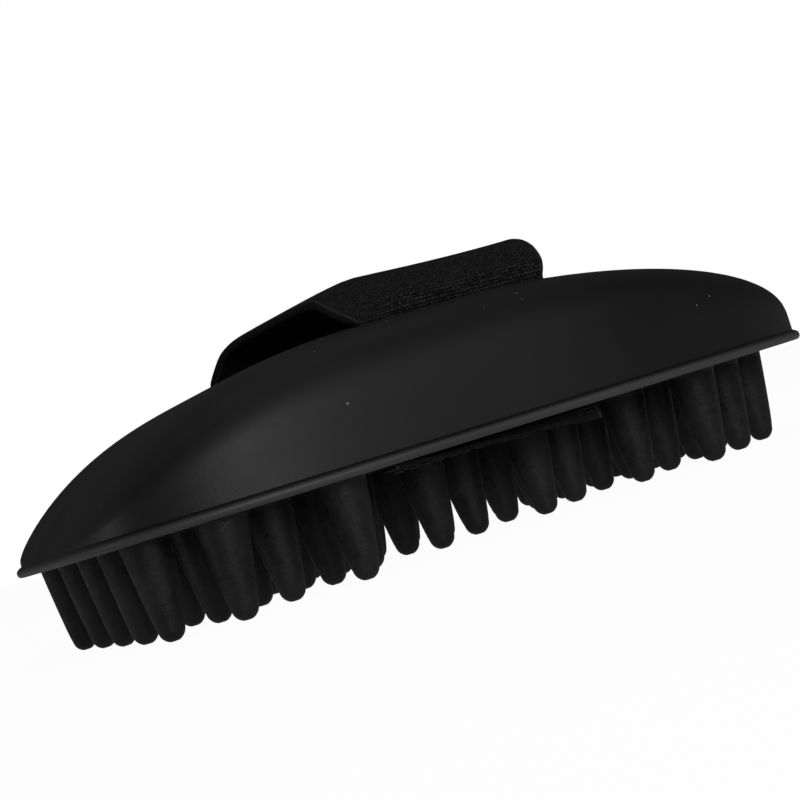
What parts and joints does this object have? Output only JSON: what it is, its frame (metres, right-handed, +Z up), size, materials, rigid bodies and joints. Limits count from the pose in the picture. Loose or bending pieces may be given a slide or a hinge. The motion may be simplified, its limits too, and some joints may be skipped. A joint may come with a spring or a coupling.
{
  "type": "rubber curry brush",
  "caption": "Oval rubber grooming brush with a domed back, long tapered rubber teeth below and a woven elastic hand strap over the top.",
  "frame": {"origin": "centre of the footprint, on the plane of the tooth tips that the brush stands on", "axes": "+X along the brush towards its narrower end, +Y across it, +Z up through the dome and the strap"},
  "size_m": [0.19, 0.125, 0.0612],
  "materials": {
    "body_rubber": "smooth satin-matte moulded black rubber",
    "tooth_rubber": "matte, slightly mottled moulded black rubber",
    "woven_elastic": "black woven elastic webbing with a fine rib",
    "bar_plastic": "plain black moulded plastic",
    "seam_thread": "black sewing thread"
  },
  "bodies": {
    "brush": {"body_shell": "body_rubber", "tooth_pad": "tooth_rubber", "strap_tail_near": "woven_elastic", "strap_tail_far": "woven_elastic", "retaining_bar_near": "bar_plastic", "retaining_bar_far": "bar_plastic", "tail_seam_near": "seam_thread", "tail_seam_far": "seam_thread"},
    "strap": {"hand_strap": "woven_elastic"}
  },
  "joints": [
    {"name": "strap_stretch", "type": "slide", "parent": "brush", "child": "strap", "axis": [0, 0, 1], "range_m": [0, 0.016], "stiffness_N_per_m": 900}
  ]
}
